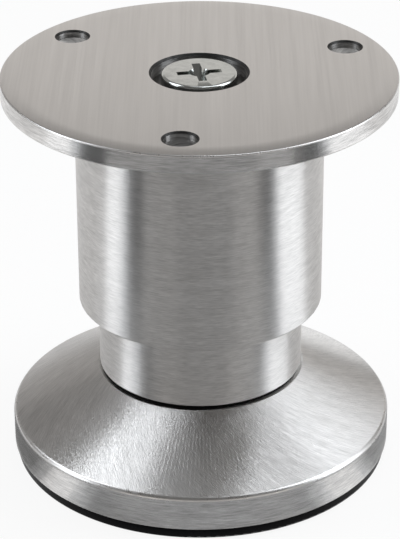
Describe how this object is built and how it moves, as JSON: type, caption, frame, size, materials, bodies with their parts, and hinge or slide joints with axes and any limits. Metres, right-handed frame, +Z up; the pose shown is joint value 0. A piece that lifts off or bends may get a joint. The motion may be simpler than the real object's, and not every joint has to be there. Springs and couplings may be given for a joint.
{
  "type": "adjustable cabinet leg",
  "caption": "Round furniture leg with a screw-on plate, a brushed steel sleeve, a tube that screws in and out to set the height, and a swivelling conical foot on a black sole.",
  "frame": {"origin": "on the leg's axis at the underside of the sole, which stands on the floor", "axes": "+Z up along the leg's axis towards the plate; one fixing hole of the plate lies on -Y"},
  "size_m": [0.06, 0.06, 0.0641],
  "materials": {
    "plate_steel": "satin, brushed in straight lines",
    "tube_steel": "satin, finely brushed round the tube",
    "cover_steel": "satin, brushed outwards on the cone",
    "bright_screw": "bright plated",
    "plated_steel": "zinc plated",
    "bush_plastic": "matte",
    "sole_plastic": "semi-gloss"
  },
  "bodies": {
    "mounting_head": {"mounting_plate": "plate_steel", "plate_screw": "bright_screw", "upper_sleeve": "tube_steel", "sleeve_plug": "plated_steel", "spindle": "plated_steel", "guide_bush": "bush_plastic"},
    "swivel_ring": {"thrust_washer": "bush_plastic"},
    "lower_leg": {"lower_tube": "tube_steel", "tube_nut": "plated_steel", "tube_plug": "plated_steel", "pivot_screw": "plated_steel", "pivot_washer": "plated_steel"},
    "foot": {"base_cover": "cover_steel", "base_glide": "sole_plastic"}
  },
  "joints": [
    {"name": "height_slide", "type": "slide", "parent": "mounting_head", "child": "swivel_ring", "axis": [0, 0, -1], "range_m": [-0.01, 0.005]},
    {"name": "tube_turn", "type": "hinge", "parent": "swivel_ring", "child": "lower_leg", "pos_m": [0, 0, 0.0152], "axis": [0, 0, -1], "range_deg": [-2057.2, 1028.6]},
    {"name": "base_swivel", "type": "hinge", "parent": "swivel_ring", "child": "foot", "pos_m": [0, 0, 0.0147], "axis": [0, 0, 1], "continuous": true}
  ],
  "couplings": [
    {"joint": "tube_turn", "follows": "height_slide", "rad_per_m": 3590.4}
  ]
}
